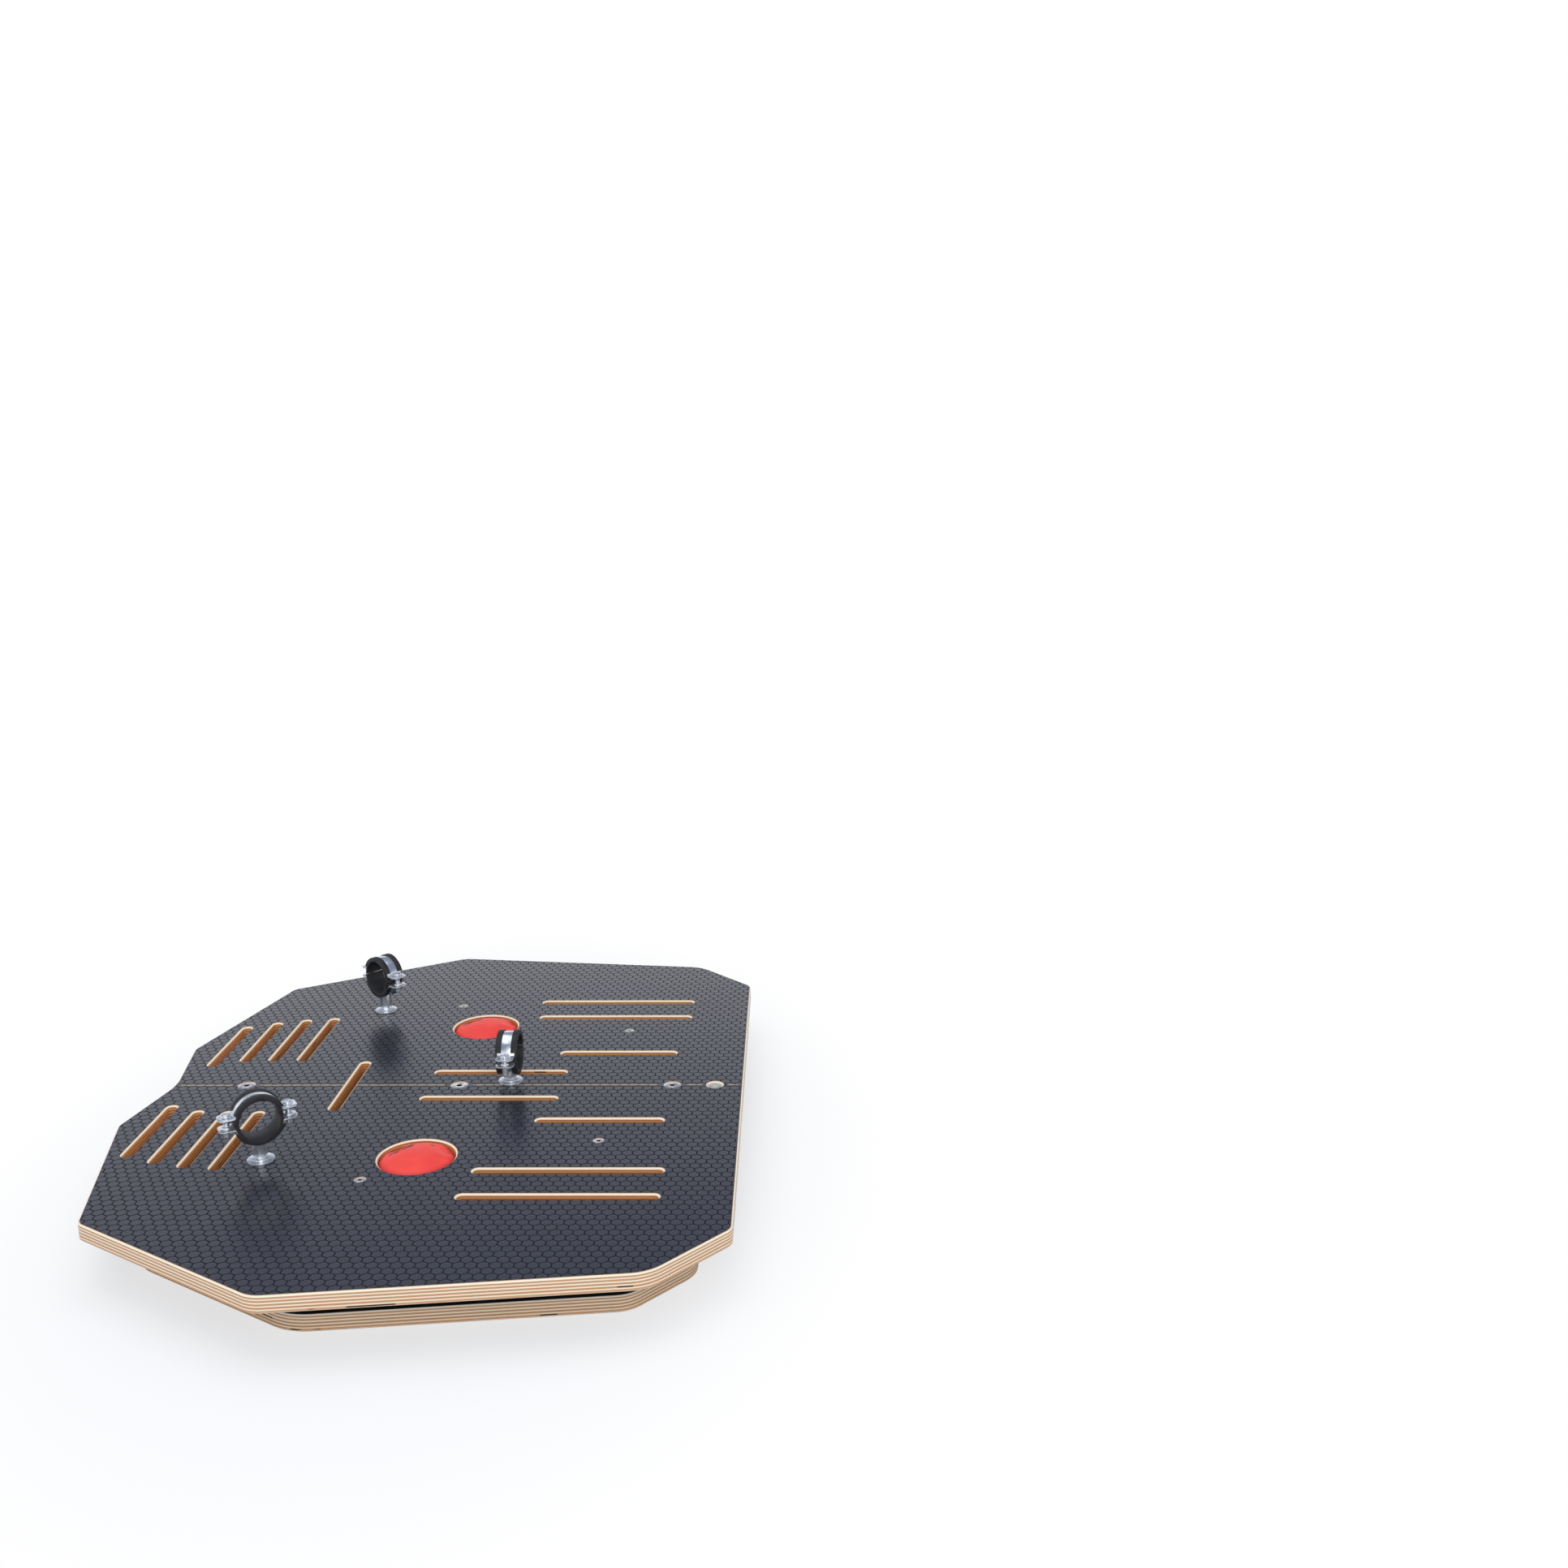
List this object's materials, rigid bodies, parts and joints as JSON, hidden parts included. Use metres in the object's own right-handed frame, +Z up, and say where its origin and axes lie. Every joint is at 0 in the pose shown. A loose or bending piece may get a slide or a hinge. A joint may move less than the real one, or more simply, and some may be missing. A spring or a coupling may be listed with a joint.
{
  "type": "trainer rocker plate",
  "caption": "Two-board rocker plate with a tilting plywood deck on rubber buffers and balls, with slots and pipe clamps for an indoor bicycle trainer.",
  "frame": {"origin": "on the floor under the middle of the deck's bounding box", "axes": "+X points to the front of the bicycle, +Y to its left side, +Z up"},
  "size_m": [0.6796, 0.896, 0.1412],
  "materials": {
    "birch_plywood": "sanded and lacquered edges",
    "hex_film": "phenolic film with pressed hexagons",
    "smooth_film": "smooth phenolic film",
    "buffer_rubber": "moulded",
    "ball_rubber": "soft satin",
    "valve_rubber": "moulded",
    "liner_rubber": "extruded",
    "zinc_steel": "bright zinc plate",
    "screw_steel": "bright steel",
    "level_plastic": "moulded",
    "level_liquid": "tinted liquid",
    "level_clear": "clear acrylic"
  },
  "bodies": {
    "base": {"base_board": "birch_plywood", "base_film": "smooth_film", "buffer_rubber_front": "buffer_rubber", "buffer_rubber_middle": "buffer_rubber", "buffer_rubber_rear": "buffer_rubber", "buffer_lower_plates": "screw_steel", "base_pivot_screws": "screw_steel", "ball_near": "ball_rubber", "ball_far": "ball_rubber", "ball_valves": "valve_rubber"},
    "deck": {"deck_board": "birch_plywood", "deck_film": "hex_film", "buffer_upper_plates": "screw_steel", "deck_pivot_screws": "screw_steel", "stop_rubbers": "buffer_rubber", "stop_inserts": "screw_steel", "stop_screws": "screw_steel", "level_cup": "level_plastic", "level_fluid": "level_liquid", "level_lens": "level_clear", "clamp_wide_washers": "zinc_steel", "clamp_small_washers": "zinc_steel", "clamp_under_washers": "zinc_steel", "clamp_bolts": "zinc_steel"},
    "clamp_near": {"clamp_near_upper_half": "zinc_steel", "clamp_near_lower_half": "zinc_steel", "clamp_near_liner_upper": "liner_rubber", "clamp_near_liner_lower": "liner_rubber", "clamp_near_ear_screws": "zinc_steel"},
    "clamp_far": {"clamp_far_upper_half": "zinc_steel", "clamp_far_lower_half": "zinc_steel", "clamp_far_liner_upper": "liner_rubber", "clamp_far_liner_lower": "liner_rubber", "clamp_far_ear_screws": "zinc_steel"},
    "clamp_centre": {"clamp_centre_upper_half": "zinc_steel", "clamp_centre_lower_half": "zinc_steel", "clamp_centre_liner_upper": "liner_rubber", "clamp_centre_liner_lower": "liner_rubber", "clamp_centre_ear_screws": "zinc_steel"}
  },
  "joints": [
    {"name": "rock", "type": "hinge", "parent": "base", "child": "deck", "pos_m": [0, 0, 0.033], "axis": [1, 0, 0], "range_deg": [-4, 4], "stiffness_Nm_per_rad": 800, "deforming": ["buffer_rubber_front", "buffer_rubber_middle", "buffer_rubber_rear", "ball_near", "ball_far"]},
    {"name": "swivel_near", "type": "hinge", "parent": "deck", "child": "clamp_near", "pos_m": [-0.155, -0.19, 0.066], "axis": [0, 0, 1], "continuous": true},
    {"name": "swivel_far", "type": "hinge", "parent": "deck", "child": "clamp_far", "pos_m": [-0.1385, 0.24, 0.066], "axis": [0, 0, 1], "continuous": true},
    {"name": "swivel_centre", "type": "hinge", "parent": "deck", "child": "clamp_centre", "pos_m": [0.068, 0.0105, 0.066], "axis": [0, 0, 1], "continuous": true}
  ]
}
